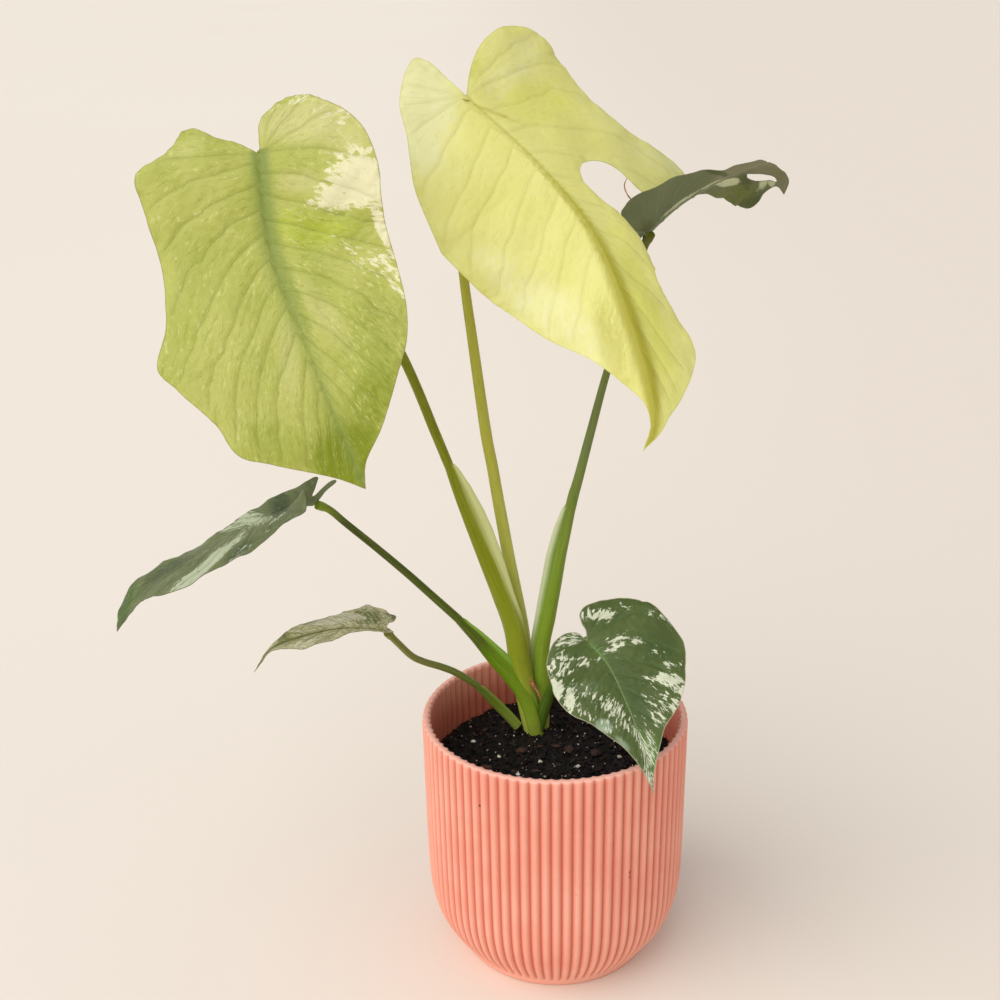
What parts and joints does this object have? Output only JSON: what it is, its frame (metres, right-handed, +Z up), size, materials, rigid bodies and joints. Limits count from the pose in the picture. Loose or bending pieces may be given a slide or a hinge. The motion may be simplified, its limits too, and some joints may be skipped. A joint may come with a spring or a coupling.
{
  "type": "potted monstera plant",
  "caption": "Young variegated monstera with broad heart-shaped leaves on sheathed stalks, growing from moist soil in a round ribbed pink pot that stands on its flat base.",
  "frame": {"origin": "centre of the pot's flat underside", "axes": "+Z up along the pot's axis, -Y towards the side that the leaves face, +X to the right seen from there"},
  "size_m": [0.3362, 0.1823, 0.4826],
  "materials": {
    "pot": "matte coral-pink plastic, fine upright ribs",
    "soil": "moist dark potting mix of peat and bark, crumbly and matte with damp glints",
    "perlite": "white expanded perlite, rough and porous",
    "bark": "brown bark chips, rough",
    "stem": "smooth yellow-green living stem with sheath scars",
    "stalk": "smooth satin living leaf stalk, olive to bright green, pale along the sheath's edge",
    "leaf_large_left": "satin waxy leaf, yellow-green with cream patches and streaks on the right half, darker along the upper midrib",
    "leaf_large_centre": "satin waxy leaf, pale yellow, deeper yellow along the midrib and towards the tip",
    "leaf_upper_right": "satin waxy leaf, grey-green underside, bright yellow-green where light comes through",
    "leaf_lower_left": "satin waxy leaf, grey-green with pale mint patches",
    "leaf_small_left": "satin waxy leaf, cream mottled with olive",
    "leaf_front_right": "satin waxy leaf, dark green with cream-white splashes and flecks"
  },
  "bodies": {
    "root": {"pot": "pot", "soil": "soil", "stem": "stem", "stalk_large_left": "stalk", "leaf_large_left": "leaf_large_left", "stalk_large_centre": "stalk", "leaf_large_centre": "leaf_large_centre", "stalk_upper_right": "stalk", "leaf_upper_right": "leaf_upper_right", "stalk_lower_left": "stalk", "leaf_lower_left": "leaf_lower_left", "stalk_small_left": "stalk", "leaf_small_left": "leaf_small_left", "stalk_front_right": "stalk", "leaf_front_right": "leaf_front_right", "perlite_1": "perlite", "perlite_2": "perlite", "perlite_3": "perlite", "perlite_4": "perlite", "perlite_5": "perlite", "perlite_6": "perlite", "perlite_7": "perlite", "perlite_8": "perlite", "perlite_9": "perlite", "perlite_10": "perlite", "bark_chip_1": "bark", "bark_chip_2": "bark", "bark_chip_3": "bark", "bark_chip_4": "bark", "bark_chip_5": "bark", "bark_chip_6": "bark", "bark_chip_7": "bark", "bark_chip_8": "bark"}
  },
  "joints": []
}
